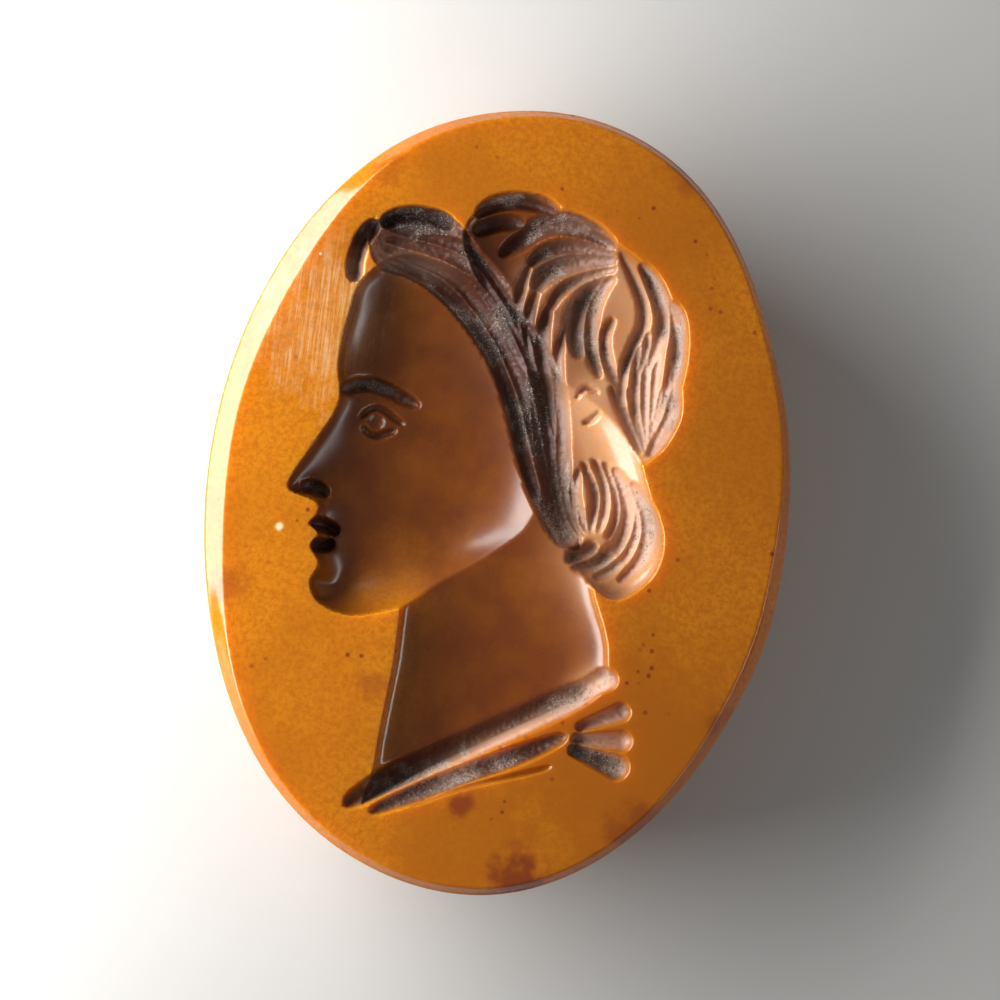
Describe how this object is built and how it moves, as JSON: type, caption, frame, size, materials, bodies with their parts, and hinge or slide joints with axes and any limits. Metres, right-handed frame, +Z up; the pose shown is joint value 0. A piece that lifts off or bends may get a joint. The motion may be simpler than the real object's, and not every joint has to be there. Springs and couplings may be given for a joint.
{
  "type": "intaglio gem",
  "caption": "Oval honey-coloured jasper ring stone with a draped bust facing left, cut down into its flat face.",
  "frame": {"origin": "middle of the stone's underside, which is its flat back", "axes": "+X across the stone to the right of the carved bust, +Y along the stone towards the top of the head, +Z up out of the carved face"},
  "size_m": [0.0112, 0.015, 0.003],
  "materials": {
    "jasper": "polished"
  },
  "bodies": {
    "root": {"gemstone": "jasper"}
  },
  "joints": []
}
